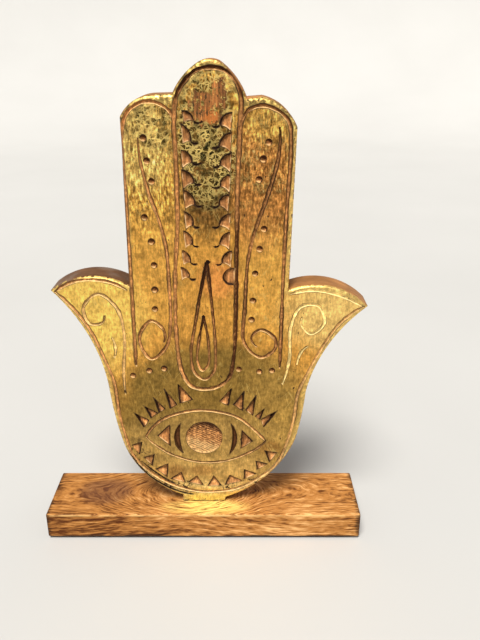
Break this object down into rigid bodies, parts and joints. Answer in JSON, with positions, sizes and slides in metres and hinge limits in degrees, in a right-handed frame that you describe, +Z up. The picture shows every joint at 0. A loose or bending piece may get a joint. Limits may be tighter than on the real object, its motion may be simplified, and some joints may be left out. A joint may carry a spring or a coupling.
{
  "type": "hamsa hand ornament",
  "caption": "Standing hand-shaped ornament: a flat wooden hand, chip-carved with an eye and gilded on its front, screwed to a wooden plinth on small bumpers.",
  "frame": {"origin": "on the table under the middle of the plinth", "axes": "+Z up, +X to the viewer's right, the gilded front faces -Y"},
  "size_m": [0.23, 0.052, 0.331],
  "materials": {
    "plinth_wood": "waxed, mottled golden brown with burnt edges",
    "hand_wood": "stained, smooth",
    "gold_leaf": "burnished metal leaf, crackled and worn",
    "screw_steel": "zinc plated",
    "clear_bumper": "translucent, soft"
  },
  "bodies": {
    "root": {"base_block": "plinth_wood", "hand_panel": "hand_wood", "front_gold_leaf": "gold_leaf", "fixing_screws": "screw_steel", "pad_front_left": "clear_bumper", "pad_front_right": "clear_bumper", "pad_rear_left": "clear_bumper", "pad_rear_right": "clear_bumper"}
  },
  "joints": []
}
